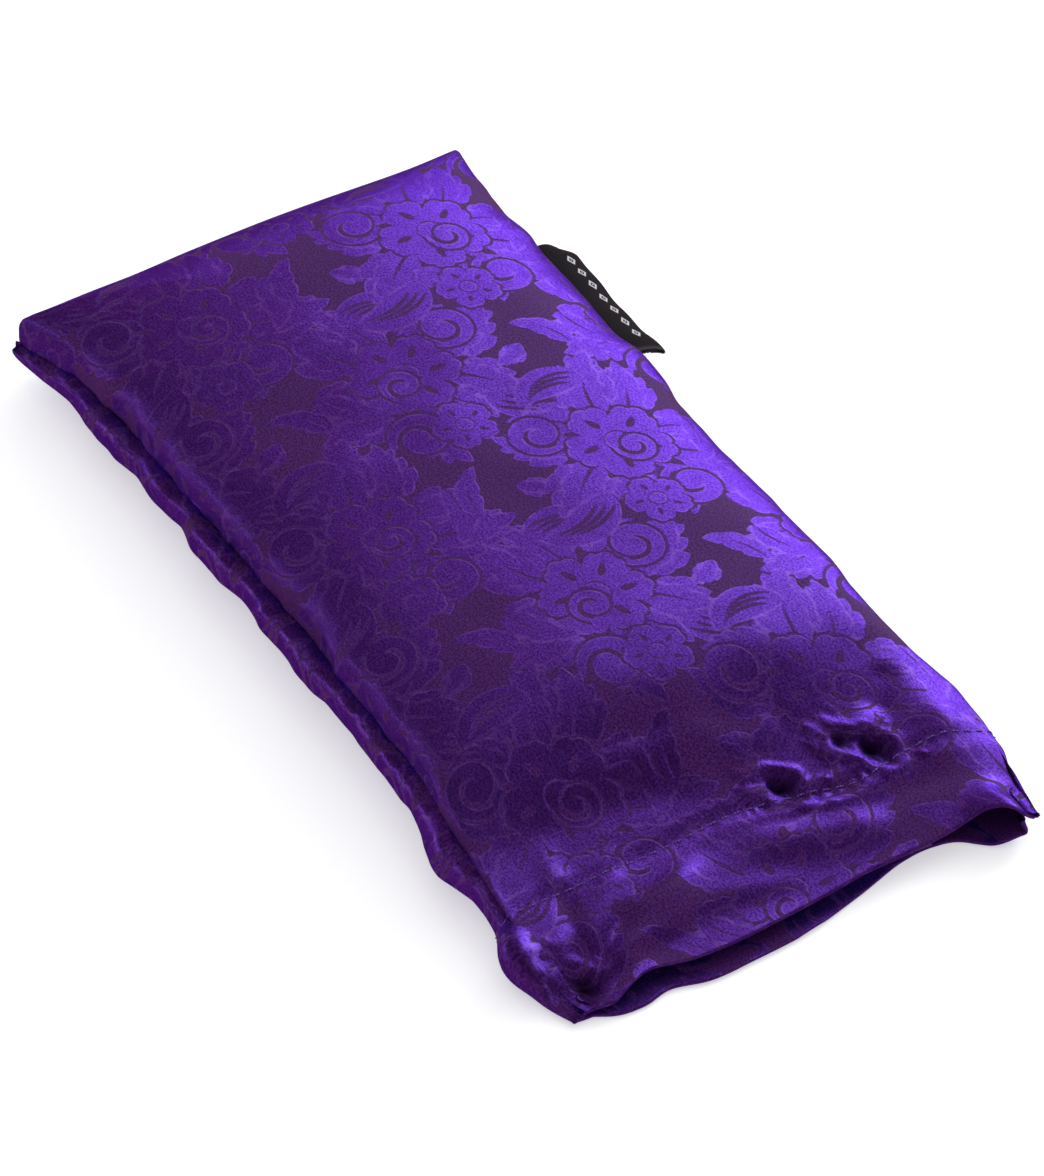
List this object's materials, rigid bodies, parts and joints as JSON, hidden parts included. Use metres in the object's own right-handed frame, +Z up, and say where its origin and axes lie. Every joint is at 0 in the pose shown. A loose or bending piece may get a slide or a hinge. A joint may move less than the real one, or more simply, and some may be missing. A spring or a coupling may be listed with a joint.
{
  "type": "eye pillow",
  "caption": "Seed-filled eye pillow in a removable brocade cover with a slack hemmed mouth and a folded side label; it bends across the middle and its mouth lip lifts.",
  "frame": {"origin": "middle of the resting face, under the middle of the cover", "axes": "+X along the pillow towards its open mouth, +Y towards the side with the label, +Z up"},
  "size_m": [0.23, 0.1148, 0.0271],
  "materials": {
    "brocade": "satin damask weave, plum ground with blue-violet figures",
    "sewing_thread": "matt thread",
    "black_label": "folded satin ribbon with a plain woven ornament",
    "hook_tape": "nylon hook tape",
    "loop_tape": "brushed loop tape",
    "muslin": "plain unbleached cotton weave",
    "cotton_thread": "matt thread",
    "seeds": "small smooth brown seeds"
  },
  "bodies": {
    "far_half": {"cover_top_far": "brocade", "cover_bottom_far": "brocade", "side_seam_thread_far": "sewing_thread", "far_end_seam_thread": "sewing_thread", "inner_bag_top_far": "muslin", "inner_bag_bottom_far": "muslin", "inner_bag_seam_thread_far": "cotton_thread", "seed_fill_far": "seeds"},
    "near_half": {"cover_top_near": "brocade", "cover_bottom_near": "brocade", "side_seam_thread_near": "sewing_thread", "mouth_hem_thread_bottom": "sewing_thread", "hook_tape": "hook_tape", "hook_tape_thread": "sewing_thread", "inner_bag_top_near": "muslin", "inner_bag_bottom_near": "muslin", "inner_bag_seam_thread_near": "cotton_thread", "inner_bag_closing_thread": "cotton_thread", "seed_fill_near": "seeds"},
    "mouth_lip": {"cover_top_lip": "brocade", "mouth_hem_thread_top": "sewing_thread", "loop_tape": "loop_tape", "loop_tape_thread": "sewing_thread"},
    "label": {"woven_label": "black_label"}
  },
  "joints": [
    {"name": "end_bend", "type": "hinge", "parent": "far_half", "child": "near_half", "pos_m": [0, 0, 0.0272], "axis": [0, -1, 0], "range_deg": [0, 60]},
    {"name": "mouth_open", "type": "hinge", "parent": "near_half", "child": "mouth_lip", "pos_m": [0.084, 0, 0.0096], "axis": [0, -1, 0], "range_deg": [0, 40]},
    {"name": "label_flap", "type": "hinge", "parent": "far_half", "child": "label", "pos_m": [-0.0605, 0.05305, 0.012], "axis": [1, 0, 0], "range_deg": [-60, 60], "stiffness_Nm_per_rad": 0.0005}
  ]
}
